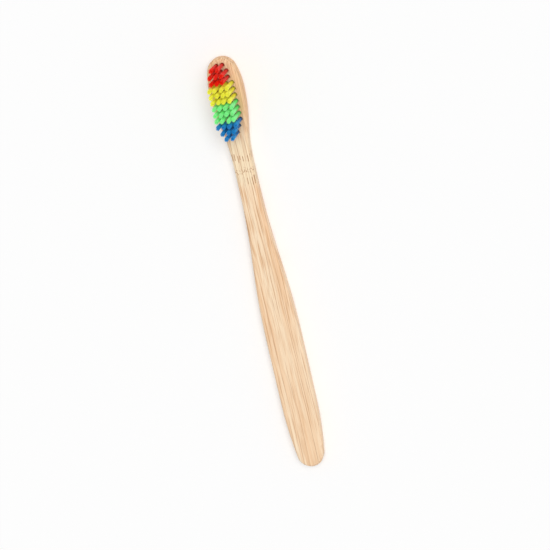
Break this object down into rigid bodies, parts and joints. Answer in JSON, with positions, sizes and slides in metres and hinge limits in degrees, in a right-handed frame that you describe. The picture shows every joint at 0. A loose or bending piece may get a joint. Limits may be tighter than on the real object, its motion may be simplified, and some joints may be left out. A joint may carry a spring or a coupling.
{
  "type": "manual toothbrush",
  "caption": "Flat bamboo toothbrush: a paddle head with rows of coloured nylon tufts held by hidden anchor plates, a narrow neck and a swelling grip.",
  "frame": {"origin": "middle of the back face, which the brush lies on", "axes": "+X to the tip of the head, +Z the way the bristles point"},
  "size_m": [0.175, 0.0142, 0.0165],
  "materials": {
    "bamboo": "sanded and lightly waxed",
    "red_nylon": "dyed filament",
    "yellow_nylon": "dyed filament",
    "green_nylon": "dyed filament",
    "blue_nylon": "dyed filament",
    "anchor_brass": "cut from flat strip"
  },
  "bodies": {
    "root": {"handle": "bamboo", "red_tuft_01": "red_nylon", "red_tuft_02": "red_nylon", "red_tuft_03": "red_nylon", "red_tuft_04": "red_nylon", "red_tuft_05": "red_nylon", "red_tuft_06": "red_nylon", "red_tuft_07": "red_nylon", "red_tuft_08": "red_nylon", "yellow_tuft_01": "yellow_nylon", "yellow_tuft_02": "yellow_nylon", "yellow_tuft_03": "yellow_nylon", "yellow_tuft_04": "yellow_nylon", "yellow_tuft_05": "yellow_nylon", "yellow_tuft_06": "yellow_nylon", "yellow_tuft_07": "yellow_nylon", "yellow_tuft_08": "yellow_nylon", "yellow_tuft_09": "yellow_nylon", "yellow_tuft_10": "yellow_nylon", "yellow_tuft_11": "yellow_nylon", "yellow_tuft_12": "yellow_nylon", "green_tuft_01": "green_nylon", "green_tuft_02": "green_nylon", "green_tuft_03": "green_nylon", "green_tuft_04": "green_nylon", "green_tuft_05": "green_nylon", "green_tuft_06": "green_nylon", "green_tuft_07": "green_nylon", "green_tuft_08": "green_nylon", "green_tuft_09": "green_nylon", "green_tuft_10": "green_nylon", "green_tuft_11": "green_nylon", "green_tuft_12": "green_nylon", "blue_tuft_01": "blue_nylon", "blue_tuft_02": "blue_nylon", "blue_tuft_03": "blue_nylon", "blue_tuft_04": "blue_nylon", "blue_tuft_05": "blue_nylon", "blue_tuft_06": "blue_nylon", "blue_tuft_07": "blue_nylon", "blue_tuft_08": "blue_nylon", "blue_tuft_09": "blue_nylon", "anchor_plates": "anchor_brass"}
  },
  "joints": []
}
